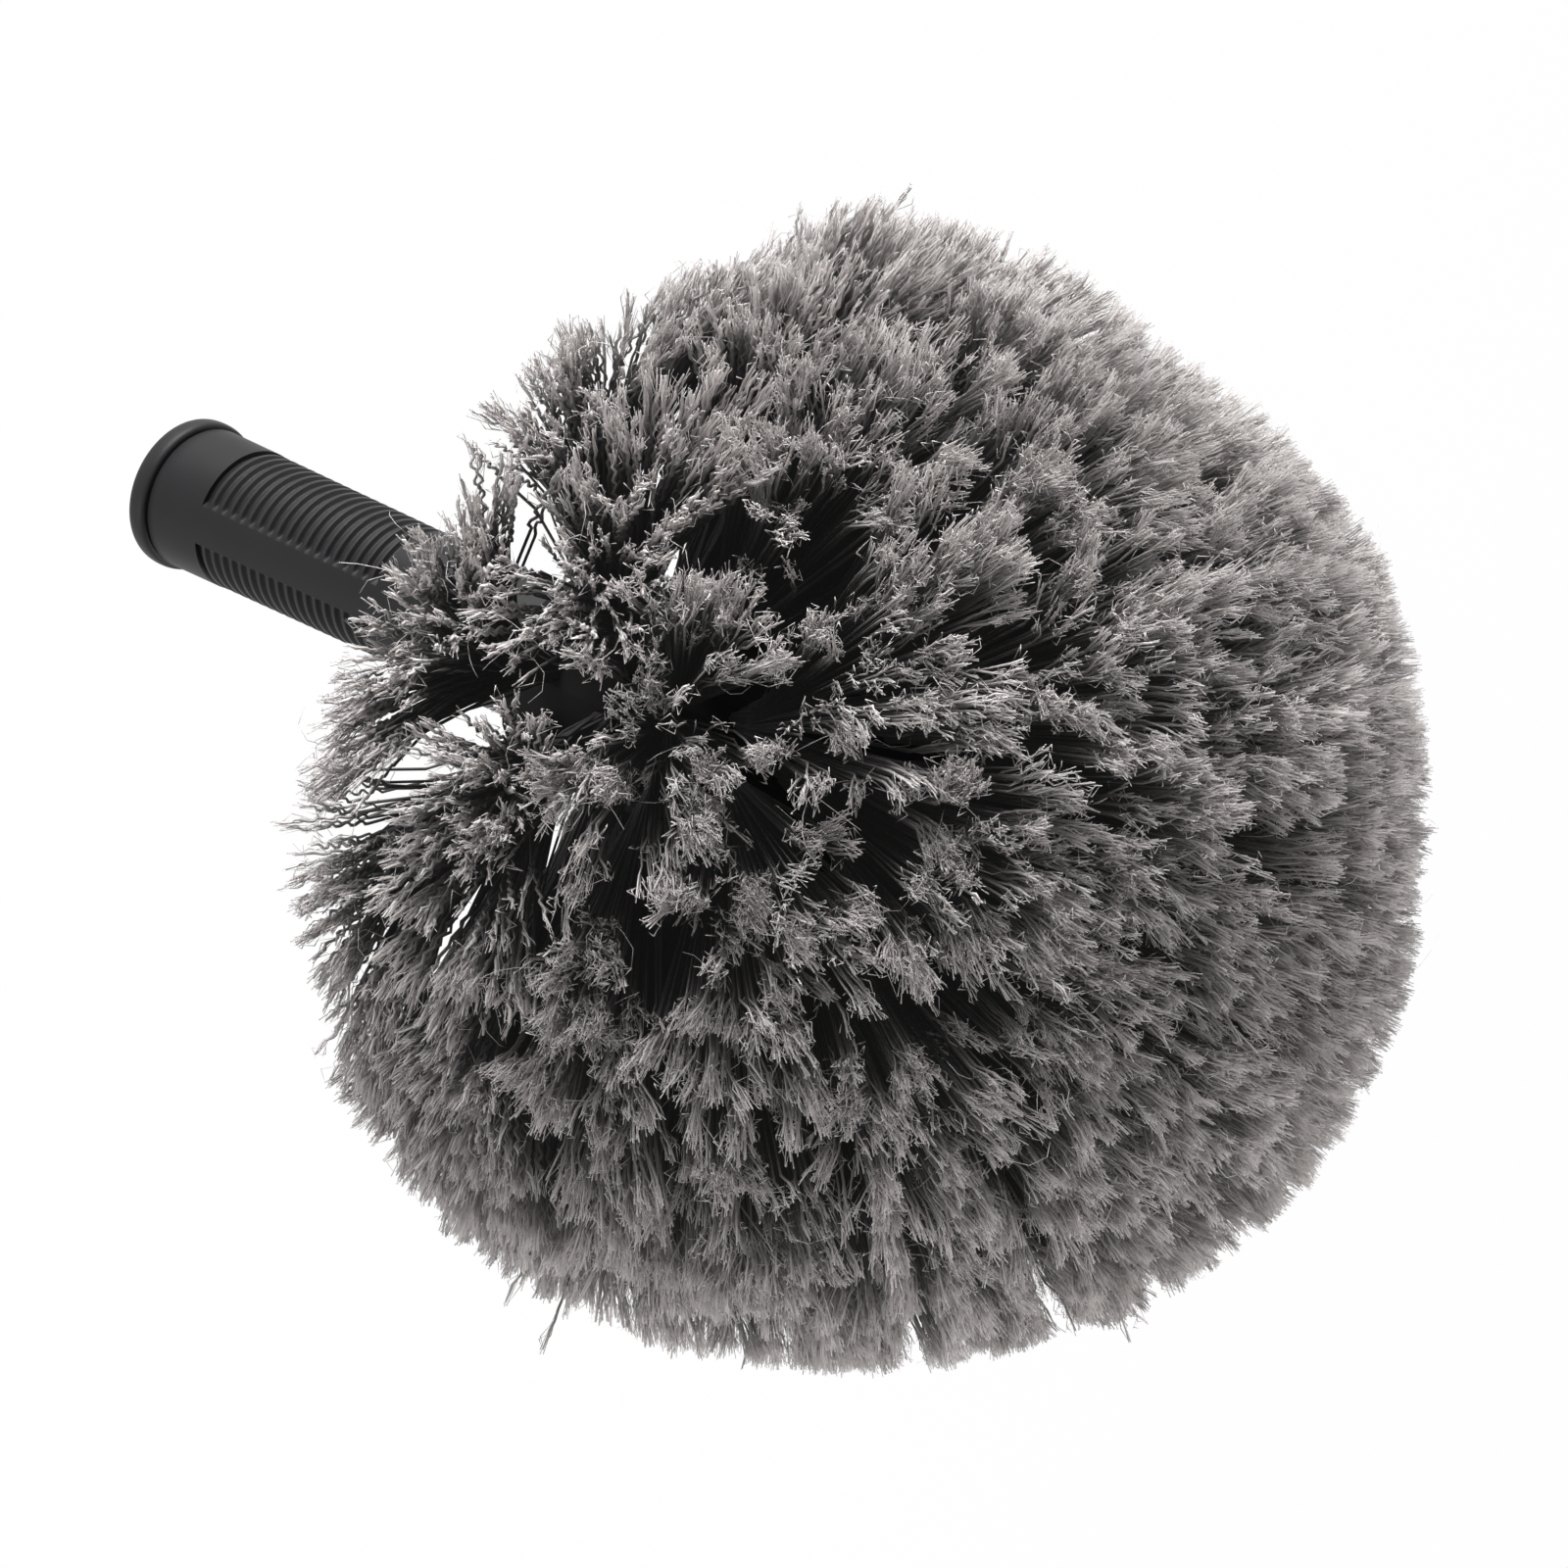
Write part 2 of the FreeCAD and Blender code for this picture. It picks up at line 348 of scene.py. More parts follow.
def makeHandle(shape, material):
    # bead: half a turn of a squared-off oval, which stands proud of the tapered body
    turn = np.linspace(-math.pi / 2, math.pi / 2, shape["beadRows"])
    half = shape["beadWidth"] / 2
    heightPower, risePower = shape["beadSquare"]
    beadHeight = half + half * np.sign(np.sin(turn)) * np.abs(np.sin(turn)) ** heightPower
    beadRise = shape["beadRadius"] - shape["beadRoot"]
    beadOut = shape["beadRoot"] + beadRise * np.abs(np.cos(turn)) ** risePower
    rows = handleRows(shape)
    roundTurn = np.linspace(0.25, 1.0, 4) * math.pi / 2
    front = bodyRadius(shape, shape["length"])
    edge = shape["frontRound"]
    pocketEnd = shape["boreDepth"] + shape["pocketDepth"]
    inside = np.array(
        (
            (shape["socketRadius"], shape["length"]),
            (shape["socketRadius"], shape["length"] - shape["socketMiddle"]),
            (shape["socketRadius"], pocketEnd + shape["bulkhead"]),
            (shape["screwHole"], pocketEnd + shape["bulkhead"]),
            (shape["screwHole"], pocketEnd),
            (shape["pocketRadius"], pocketEnd),
            (shape["pocketRadius"], shape["boreDepth"]),
            (shape["boreRadius"], shape["boreDepth"]),
            (shape["boreRadius"], shape["boreDepth"] / 2),
            (shape["boreRadius"], shape["mouthChamfer"]),
            (shape["boreRadius"] + shape["mouthChamfer"], 0.0),
        )
    )
    heights = np.concatenate(
        (beadHeight, rows, shape["length"] - edge + edge * np.sin(roundTurn), inside[:, 1])
    )
    radii = np.concatenate(
        (beadOut, bodyRadius(shape, rows), front - edge + edge * np.cos(roundTurn), inside[:, 0])
    )
    # columns round the axis, close together at the edges of the two smooth strips
    even = np.linspace(0, 360, shape["columns"], endpoint=False)
    beside = shape["stripHalfAngle"] + shape["stripEdge"] * np.array((-1.0, -0.5, 0.0, 0.5, 1.0))
    stripEdges = np.concatenate([middle + sign * beside for middle in (0, 180) for sign in (-1, 1)])
    degrees = np.unique(np.concatenate((even, stripEdges % 360)).round(4))
    fromStrip = (degrees + 90) % 180 - 90
    low = shape["stripHalfAngle"] - shape["stripEdge"]
    sharp = smoothStep(low, low + 2 * shape["stripEdge"], fromStrip)
    panel = sharp + smoothStep(low, low + shape["softEdge"], -fromStrip)
    # groove depth: full between ribs, nothing on a rib's crest
    halfPitch = shape["ribPitch"] / 2
    nearest = np.abs((rows - shape["ribFirst"] + halfPitch) % shape["ribPitch"] - halfPitch)
    onRib = 1 - smoothStep(shape["ribHalfFlat"], shape["ribHalfFoot"], nearest)
    firstRib = shape["ribFirst"] - halfPitch
    lastRib = firstRib + shape["ribPitch"] * shape["ribCount"]
    onRib = onRib * (rows > firstRib) * (rows < lastRib)
    within = (rows > shape["panelStart"]) & (rows < shape["panelEnd"])
    sink = within * (shape["panelDrop"] + shape["grooveDepth"] * (1 - onRib))
    beadEnd = len(beadHeight)
    bodyRows = slice(beadEnd, beadEnd + len(rows))
    grid = np.repeat(radii[:, None], len(degrees), axis=1)
    grid[bodyRows] -= sink[:, None] * panel
    # key slot across the spigot's socket
    angle = np.radians(degrees)
    slotReach = np.minimum(
        shape["keyReach"] / np.maximum(np.abs(np.cos(angle)), 1e-6),
        shape["keyHalfWidth"] / np.maximum(np.abs(np.sin(angle)), 1e-6),
    )
    socketStart = len(radii) - len(inside)
    socketRows = slice(socketStart, socketStart + 3)
    grid[socketRows] = np.maximum(grid[socketRows], slotReach)
    upward = np.repeat(heights[:, None], len(degrees), axis=1)
    vertices = np.stack((grid * np.cos(angle), grid * np.sin(angle), upward), -1)
    rub = np.zeros(grid.shape)
    beadShare = (beadOut - shape["beadRoot"]) / beadRise
    rub[:beadEnd] = smoothStep(shape["beadRubFrom"], 1.0, beadShare)[:, None] * shape["beadRub"]
    rub[bodyRows] = (onRib * within)[:, None] * (panel > 0.999)
    rowCount, columnCount = grid.shape
    index = np.arange(rowCount * columnCount).reshape(rowCount, columnCount)
    above = np.roll(index, -1, axis=0)
    beside = np.roll(index, -1, axis=1)
    quads = np.stack((index, beside, np.roll(above, -1, axis=1), above), -1).reshape(-1, 4)
    piece = meshPiece(
        "ribbedSocket",
        vertices.reshape(-1, 3) * millimetre,
        [quads],
        material,
        ["socket_handle"],
        rub=rub.ravel(),
    )
    piece.data.set_sharp_from_angle(angle=math.radians(shape["sharpAngle"]))
    print("socket made,", len(quads), "faces")


# Tufts: where they are set, and how their filaments run
tuftPlan = {
    "ringCounts": (1, 5, 10, 10, 10, 10, 10, 10),
    "tilts": (0.0, 11.5, 23.5, 36.5, 48.0, 57.5, 65.5, 72.0),  # degrees from the axis
    "domeRings": 3,
    "domeStep": 30.0,
    "bodyPitch": 0.0135,
    "tuftsInPiece": 5,
    "seeds": (1000, 40),  # first seed of the tufts, and the seeds set aside for each ring
    "swellSeed": 11,
    "filaments": (240, 320, 320, 415, 455, 430, 330, 250),  # in each ring's tufts
    "countRange": (0.92, 1.06),  # shares of that number
    "backRing": 6,  # from this ring back the shafts show
    "fillAcross": (1.0, 1.15),  # share of the room between neighbours, and that of the last ring
    "fillDown": 1.2,  # share of the room between rings
    "lastBack": 0.6,  # share of its patch that the last ring fills towards the handle
    "clumps": 24,
    "clumpStart": 0.6,  # where the spiral of clumps starts, in steps
    "clumpJitter": 0.1,
    "clumpSpread": 0.0013,  # how far locks lie from the middle of their clump
    "locks": 50,
    "lockBias": 1.5,  # power that makes some locks thicker than others
    "lockSpread": (0.0005, 0.0011),
    # wisps are small locks between the clumps, in the front rings and the back ones
    "wisps": (30, 130),
    "wispReach": 1.05,
    "wispSpread": (0.0004, 0.0009),
    "wispShare": (0.34, 0.7),
    "wispShort": (0.020, 0.006),
    "wispParting": (0.85, 1.0),  # how far a parting moves a wisp, as a share
    "holeRadius": 0.0021,
    "holeDepth": 0.004,
    "holeShare": 0.8,
    "holeJitter": 0.00018,
    "shortest": (0.013, 0.007),  # how far a lock may stop short of the ball
    "shortBias": 2.2,  # power that keeps most locks long
    "uneven": 0.0006,
    "strayShare": (0.001, 0.01),
    "strayReach": 0.007,
    "bend": (0.005, 0.0025),
    "bendJitter": 0.4,
    "nod": 0.0013,  # how far a tip curls to one side
    "nodPower": 10,
    "thinSides": ((20.0, 14.0, 0.3), (-48.0, 16.0, 0.1)),  # turn, width in degrees and share taken
    # ring, turn and width in degrees, and how far the tips are swept back, or forward if below nothing
    "sweeps": ((6, -40.0, 17.0, -0.003), (6, -16.0, 10.0, -0.003), (7, 5.0, 12.0, 0.010)),
    "proud": 0.0036,  # the longest tips stand this far out of the ball
    "swells": 6,
    "swellPace": (3, 8),
    "swellHeight": 0.0022,
    # dents, and bumps where the depth is below nothing:
    # polar and turn in degrees, reach and depth in millimetres
    "dents": (
        (70, -108, 24, 7.5),
        (112, -82, 26, 10.0),
        (85, -92, 13, 7.0),
        (101, -83, 11, -6.0),
        (110, -60, 14, 3.0),
        (76, 53, 15, 10.0),
    ),
}

# Partings, where the tips lean apart and the dark inside shows
partingPlan = (
    # polar, turn and heading in degrees, half length and half width in millimetres
    (77, -17, 165, 10.0, 6.0),
    (86, -26, -110, 6.0, 3.0),
    (53, -23, -135, 9.0, 4.5),
    (51, 4, 175, 12.0, 4.0),
    (70, 0, -165, 10.0, 4.2),
    (70, -24, -160, 6.0, 3.6),
    (64, -13, 170, 5.0, 3.2),
    (33, -35, -140, 6.0, 3.2),
    (53, -46, -120, 9.0, 3.6),
    (46, 20, -170, 9.0, 3.4),
    (83, -52, 165, 9.5, 3.5),
    (94, -8, 20, 10.0, 2.0),
)
# Slits that the background shows through
slitPlan = (
    (96, 9, 80, 25.0, 3.0),
    (56, 75, -150, 60.0, 4.0),
    (44, 85, -148, 50.0, 3.6),
)

crimpPlan = {
    "halfWave": (0.0040, 0.0018),  # in the front rings and the back ones
    "height": (0.00032, 0.00034),
    "waves": (2, 2, 2, 2, 2, 3, 9, 8),  # half waves drawn on each ring's shafts, from the tip back
    "deepSamples": (1, 1, 1, 1, 1, 1, 4, 4),
    "roundRing": 7,  # from this ring back a half wave has two samples, so it looks round
    "roundOffset": 0.24,
    "filamentRadius": (0.00022, 0.0003),
    "shaftGap": 0.0018,  # from the tip back to the start of the crimp
    "endStep": 0.001,  # the shaft itself ends this much nearer the tip
    "firstPlace": 0.25,  # of the first crest, in half waves
    "phaseJitter": 0.16,
    "stretch": (0.9, 1.15),
    "crestRange": (0.75, 1.25),
    "crestFade": (0.03, 0.35),  # shares of the length over which the crimp sets in
    "planeJitter": 0.5,
    "radiusRange": (0.85, 1.15),
    "endTaper": 0.6,
    "mapLength": 0.11,
    "mapWidth": 0.03,
}

# Split ends: fine fibres that make each filament's tip a blunt little brush
flagPlan = {
    # in the front rings and the back ones: how far from the tip a fibre leaves the shaft
    "rootBack": ((0.003, 0.009), (0.003, 0.011)),
    "endBack": 0.0011,
    "flare": 0.0009,
    "curl": 0.0009,
    "curlPlace": (0.4, 0.65),
    # shares of straight and bent fibres that stand out sideways
    "wildShare": ((0.15, 0.1), (0.65, 0.2)),
    "wildRoot": (0.0008, 0.0075),
    "wildEnd": (0.2, 0.9),
    "wildFlare": 0.0016,
    "straight": (3, 3, 3, 3, 3, 3, 3, 3),  # fibres to each ring's filaments
    "bent": (5, 5, 5, 5, 5, 5, 3, 3),
    "radius": (0.00009, 0.0001),
    "toneSpread": 0.16,
}

# Long loose hairs that curl across the gaps
hairPlan = {
    "count": 22,  # to a tuft
    "rootBack": (0.003, 0.010),
    "length": (0.006, 0.013),
    "firstTurn": (15.0, 70.0),  # degrees from the filament's own way
    "lastTurn": (80.0, 210.0),
    "twist": 150.0,  # degrees that the side turns round the filament, either way
    "segments": 4,
    "endTone": 0.2,  # the map runs this far back of the tip at the hair's end, as a share of its start
    "radius": 0.00006,
}


def tuftSeat(ring, index):
    # mouth of the hole, and the ways along the tuft, round the core and down the core
    count = tuftPlan["ringCounts"][ring]
    turn = 2 * math.pi * (index + (ring % 2) / 2) / count
    tilt = math.radians(tuftPlan["tilts"][ring])
    lift = ring - tuftPlan["domeRings"]
    polar = math.radians(tuftPlan["domeStep"] * ring)
    out = np.array((math.cos(turn), math.sin(turn), 0.0))
    up = np.array((0.0, 0.0, 1.0))
    if lift < 0:
        mouth = ballCentre + coreRadius * (out * math.sin(polar) + up * math.cos(polar))
    else:
        mouth = ballCentre + out * coreRadius - up * tuftPlan["bodyPitch"] * lift
    along = out * math.sin(tilt) + up * math.cos(tilt)
    across = np.cross(up, out)
    return mouth, along, across, np.cross(along, across), turn


def reachToBall(start, way):
    gap = start - ballCentre
    half = (gap * way).sum(-1)
    return np.sqrt(half * half - (gap * gap).sum(-1) + ballRadius ** 2) - half


def ringTip(ring):
    mouth, along = tuftSeat(ring, 0)[:2]
    return mouth + along * reachToBall(mouth, along) - ballCentre


ringTips = [ringTip(ring) for ring in range(len(tuftPlan["tilts"]))]
ringPolars = np.array([math.acos(tip[2] / ballRadius) for tip in ringTips])
ringGaps = np.gradient(ringPolars) * ballRadius


def patchSize(ring):
    # half a tuft's width round the ball and half its height between rings
    down = ringGaps[ring] / 2 * tuftPlan["fillDown"]
    if ring == 0:
        return np.array((down, down))
    around = math.pi * ballRadius * math.sin(ringPolars[ring]) / tuftPlan["ringCounts"][ring]
    return np.array((around * tuftPlan["fillAcross"][ring == len(ringPolars) - 1], down))


swellDraw = np.random.default_rng(tuftPlan["swellSeed"])
swellWays = unit(swellDraw.normal(size=(tuftPlan["swells"], 3)))
swellWays = swellWays * swellDraw.uniform(*tuftPlan["swellPace"], (tuftPlan["swells"], 1))
swellPhases = swellDraw.uniform(0, 2 * math.pi, tuftPlan["swells"])


def trimmed(points, short):
    # each point goes to the ball, which swells and dips as a sum of slow waves, less what it is short by
    ways = unit(points - ballCentre)
    swell = np.sin(ways @ swellWays.T + swellPhases).mean(-1) * tuftPlan["swellHeight"] * 2
    for polar, turn, reach, depth in tuftPlan["dents"]:
        away = np.linalg.norm(ways - ballWay(polar, turn), axis=-1) * ballRadius / millimetre
        swell = swell - depth * millimetre * np.exp(-(away / reach) ** 2)
    return ballCentre + ways * (ballRadius + tuftPlan["proud"] + swell - short)[:, None]


def ballWay(polar, turn):
    # the way from the ball's centre, from its angle off the axis and its turn round it
    polar, turn = math.radians(polar), math.radians(turn)
    out = math.sin(polar)
    return np.array((out * math.cos(turn), out * math.sin(turn), math.cos(polar)))


def parted(points, plan, share):
    # a tip near a parting moves to its own side by the half width, fading as a bell curve with distance
    for polar, turn, heading, halfLength, halfWidth in plan:
        middle = ballWay(polar, turn)
        across = ballWay(90, turn + 90)
        slope = np.cross(across, middle)
        heading = math.radians(heading)
        lengthWay = across * math.cos(heading) + slope * math.sin(heading)
        widthWay = np.cross(middle, lengthWay)
        gap = (points - ballCentre) / millimetre
        along, aside = gap @ lengthWay / halfLength, gap @ widthWay / halfWidth
        bell = np.exp(-along ** 2 - aside ** 2) * (gap @ middle > 0)
        push = np.where(aside < 0, -1.0, 1.0) * bell * halfWidth * millimetre * share
        points = points + push[:, None] * widthWay
    return points


def onDisc(turns, reach):
    return np.stack((np.cos(turns), np.sin(turns)), -1) * reach[:, None]


def tuftTargets(draw, ring, mouth, along, across, count):
    # tips: locks of filaments gather in clumps on the tuft's patch of the ball, with wisps between
    clumps, locks, back = tuftPlan["clumps"], tuftPlan["locks"], ring >= tuftPlan["backRing"]
    wisps = tuftPlan["wisps"][back]
    patch = patchSize(ring)
    # the clumps lie on a sunflower spiral, each a golden angle on from the last
    turns = np.arange(clumps) * math.pi * (3 - math.sqrt(5)) + draw.uniform(0, 2 * math.pi)
    clumpShares = onDisc(turns, np.sqrt((np.arange(clumps) + tuftPlan["clumpStart"]) / clumps))
    clumpShares = clumpShares + draw.normal(0, tuftPlan["clumpJitter"], (clumps, 2))
    lockPlaces = (clumpShares * patch)[draw.integers(0, clumps, locks)]
    lockPlaces = lockPlaces + draw.normal(0, tuftPlan["clumpSpread"], (locks, 2))
    wispTurns = draw.uniform(0, 2 * math.pi, wisps)
    wispShares = onDisc(wispTurns, np.sqrt(draw.random(wisps)) * tuftPlan["wispReach"])
    wispPlaces = (draw.uniform(-1, 1, (wisps, 2)) if back else wispShares) * patch
    wisp = draw.random(count) < tuftPlan["wispShare"][back]
    inLock = (draw.random(count) ** tuftPlan["lockBias"] * locks).astype(int)
    which = np.where(wisp, locks + draw.integers(0, wisps, count), inLock)
    spread = np.concatenate(
        (draw.uniform(*tuftPlan["lockSpread"], locks), draw.uniform(*tuftPlan["wispSpread"], wisps))
    )
    places = np.concatenate((lockPlaces, wispPlaces))[which]
    places = places + draw.normal(0, 1, (count, 2)) * spread[which][:, None]
    if ring == len(ringPolars) - 1:
        places[:, 1] *= np.where(places[:, 1] > 0, tuftPlan["lastBack"], 1.0)
    short = draw.random(locks + wisps)[which] ** tuftPlan["shortBias"]
    short = short * np.where(wisp, tuftPlan["wispShort"][back], tuftPlan["shortest"][back])
    short = short + np.abs(draw.normal(0, tuftPlan["uneven"], count))
    stray = draw.random(count) < tuftPlan["strayShare"][back]
    short = np.where(stray, -tuftPlan["strayReach"] * draw.random(count), short)
    tip = mouth + along * reachToBall(mouth, along)
    slope = np.cross(across, unit(tip - ballCentre))
    points = tip + places[:, :1] * across + places[:, 1:] * slope
    # on some sides the back rings' tips are swept back or forward, as bell curves of the turn
    turns = np.degrees(np.arctan2(points[:, 1], points[:, 0]))
    for sweptRing, side, width, shift in tuftPlan["sweeps"]:
        swept = shift * np.exp(-((turns - side) / width) ** 2) * (ring == sweptRing)
        points = points + swept[:, None] * slope
    points = parted(points, partingPlan, np.where(wisp, tuftPlan["wispParting"][back], 1.0))
    return trimmed(parted(points, slitPlan, 1.0), short), places / patch, which


def fibreArrays(draw, count, bent, back, path):
    # each fibre leaves the last stretch of its shaft as a point
    # a straight one ends blunt, and a bent one as a point
    onPath, sideOne, sideTwo, length = path[:4]
    size = (len(length), count)
    wild = draw.random(size) < flagPlan["wildShare"][bent][back]
    rootBack = draw.uniform(*flagPlan["rootBack"][back], size)
    rootBack = np.where(wild, draw.uniform(*flagPlan["wildRoot"], size), rootBack)
    endBack = draw.random(size) ** 2 * flagPlan["endBack"]
    endBack = np.where(wild, rootBack * draw.uniform(*flagPlan["wildEnd"], size), endBack)
    turn = draw.uniform(0, 2 * math.pi, size)[..., None]
    lateral = sideOne[:, None] * np.cos(turn) + sideTwo[:, None] * np.sin(turn)
    flare = np.where(wild, flagPlan["wildFlare"], flagPlan["flare"]) * np.sqrt(draw.random(size))
    root = onPath((1 - rootBack / length[:, None])[..., None])
    end = onPath((1 - endBack / length[:, None])[..., None]) + lateral * flare[..., None]
    line, behind = [root, end], [rootBack, endBack]
    if bent:
        share = draw.uniform(*flagPlan["curlPlace"], size)
        curl = draw.normal(0, flagPlan["curl"], (*size, 2))
        middle = root + (end - root) * share[..., None]
        middle = middle + sideOne[:, None] * curl[..., :1] + sideTwo[:, None] * curl[..., 1:]
        line.insert(1, middle)
        behind.insert(1, rootBack + (endBack - rootBack) * share)
    return np.stack(line, 2), np.stack(behind, -1)


def hairArrays(draw, path):
    # curls: each step of a hair turns further from the filament's way, towards a side that turns round it
    onPath, sideOne, sideTwo, length, way = path
    count, segments = hairPlan["count"], hairPlan["segments"]
    which = draw.integers(0, len(length), count)
    rootBack = draw.uniform(*hairPlan["rootBack"], (len(length), 1))
    root = onPath((1 - rootBack / length[:, None])[..., None])[which]
    twist = np.radians(draw.uniform(-1, 1, (count, 1)) * hairPlan["twist"]) * np.linspace(0, 1, segments)
    turn = (draw.uniform(0, 2 * math.pi, (count, 1)) + twist)[..., None]
    lateral = sideOne[which][:, None] * np.cos(turn) + sideTwo[which][:, None] * np.sin(turn)
    first = np.radians(draw.uniform(*hairPlan["firstTurn"], (count, 1)))
    last = np.radians(draw.uniform(*hairPlan["lastTurn"], (count, 1)))
    angle = (first + (last - first) * np.linspace(0, 1, segments))[..., None]
    step = draw.uniform(*hairPlan["length"], (count, 1, 1)) / segments
    steps = step * (np.cos(angle) * way[which][:, None] + np.sin(angle) * lateral)
    line = np.concatenate((root, root + np.cumsum(steps, 1)), 1)
    back = rootBack[which] * np.linspace(1, hairPlan["endTone"], segments + 1)
    return line, back, which


def shareLeft(ring, turn):
    # the back rings lose filaments near their thin sides, as a bell curve of the turn
    left = 1.0
    for side, width, taken in tuftPlan["thinSides"]:
        away = (math.degrees(turn) - side + 180) % 360 - 180
        left -= taken * math.exp(-(away / width) ** 2)
    return left if ring >= tuftPlan["backRing"] else 1.0


def filamentLines(ring, index):
    # one tuft as lists of lines: their points, radii, tones and distances back from the tip
    firstSeed, ringSeeds = tuftPlan["seeds"]
    draw = np.random.default_rng(firstSeed + ringSeeds * ring + index)
    mouth, along, across, down, turn = tuftSeat(ring, index)
    back = ring >= tuftPlan["backRing"]
    count = int(tuftPlan["filaments"][ring] * draw.uniform(*tuftPlan["countRange"]) * shareLeft(ring, turn))
    tips, shares, which = tuftTargets(draw, ring, mouth, along, across, count)
    groups = which.max() + 1
    inHole = shares * tuftPlan["holeRadius"] * tuftPlan["holeShare"]
    inHole = inHole + draw.normal(0, tuftPlan["holeJitter"], (count, 2))
    roots = mouth - along * tuftPlan["holeDepth"] + inHole[:, :1] * across + inHole[:, 1:] * down
    length = np.linalg.norm(tips - roots, axis=-1)
    way = (tips - roots) / length[:, None]
    sideOne = unit(np.cross(way, across + 0.3 * along))
    sideTwo = np.cross(way, sideOne)
    bend = draw.normal(0, tuftPlan["bend"][back], (groups, 2))[which]
    bend = bend + draw.normal(0, tuftPlan["bend"][back] * tuftPlan["bendJitter"], (count, 2))
    middles = roots + along * (length / 2)[:, None] + bend[:, :1] * sideOne + bend[:, 1:] * sideTwo
    nod = draw.normal(0, tuftPlan["nod"], (count, 2))
    nod = nod[:, :1] * sideOne + nod[:, 1:] * sideTwo

    def onPath(share):
        # quadratic curve from the root, which leaves along the hole, to the tip, which nods to one side
        left = 1 - share
        curve = left ** 2 * roots[:, None] + 2 * share * left * middles[:, None]
        return curve + share ** 2 * tips[:, None] + share ** tuftPlan["nodPower"] * nod[:, None]

    # crimp: samples at the crests of each half wave from the tip back, then a few down to the root
    waves, deepCount = crimpPlan["waves"][ring], crimpPlan["deepSamples"][ring]
    rounded = ring >= crimpPlan["roundRing"]
    offsets = np.array((-1.0, 1.0)) * crimpPlan["roundOffset"] if rounded else np.zeros(1)
    phase = (draw.random(groups)[which] + draw.normal(0, crimpPlan["phaseJitter"], count)) % 1
    places = (np.arange(waves)[:, None] + crimpPlan["firstPlace"] + offsets).ravel() + phase[:, None]
    stretch = draw.uniform(*crimpPlan["stretch"], (count, 1))
    crests = crimpPlan["shaftGap"] + places * crimpPlan["halfWave"][back] * stretch
    deep = crests[:, -1:] + (length[:, None] - crests[:, -1:]) * np.linspace(0, 1, deepCount + 1)[1:]
    end = np.full((count, 1), crimpPlan["shaftGap"] - crimpPlan["endStep"])
    behind = np.concatenate((end, crests, deep), 1)[:, ::-1]
    crestSigns = np.repeat((-1.0) ** np.arange(waves), len(offsets))
    signs = np.concatenate(([0.0], crestSigns, (-1.0) ** np.arange(deepCount)))
    share = 1 - behind / length[:, None]
    crest = signs[::-1] * draw.uniform(*crimpPlan["crestRange"], share.shape)
    crest = crest * smoothStep(*crimpPlan["crestFade"], share)
    plane = draw.uniform(0, math.pi, groups)[which] + draw.normal(0, crimpPlan["planeJitter"], count)
    sway = sideOne * np.cos(plane)[:, None] + sideTwo * np.sin(plane)[:, None]
    shafts = onPath(share[..., None]) + (crimpPlan["height"][back] * crest)[..., None] * sway[:, None]
    thickness = crimpPlan["filamentRadius"][back] * draw.uniform(*crimpPlan["radiusRange"], (count, 1))
    radii = thickness * np.ones(share.shape)
    radii[:, -1] *= crimpPlan["endTaper"]
    tone = draw.random(count)
    lines = [(shafts, radii, tone, behind, sideOne, sideTwo)]
    path = onPath, sideOne, sideTwo, length, way
    for bent, kind in enumerate(("straight", "bent")):
        fibres, thick = flagPlan[kind][ring], flagPlan["radius"][bent]
        line, behind = fibreArrays(draw, fibres, bent, back, path)
        levels = line.shape[2]
        fibreTone = np.repeat(tone, fibres) + draw.normal(0, flagPlan["toneSpread"], count * fibres)
        radii = np.tile((0.0, thick, 0.0)[:levels], (count * fibres, 1))
        sides = [np.repeat(side, fibres, axis=0) for side in (sideOne, sideTwo)]
        lines.append((line.reshape(-1, levels, 3), radii, fibreTone, behind.reshape(-1, levels), *sides))
    line, behind, owner = hairArrays(draw, path)
    radii = np.tile((0.0,) + (hairPlan["radius"],) * hairPlan["segments"], (len(line), 1))
    lines.append((line, radii, draw.random(len(line)), behind, sideOne[owner], sideTwo[owner]))
    return lines


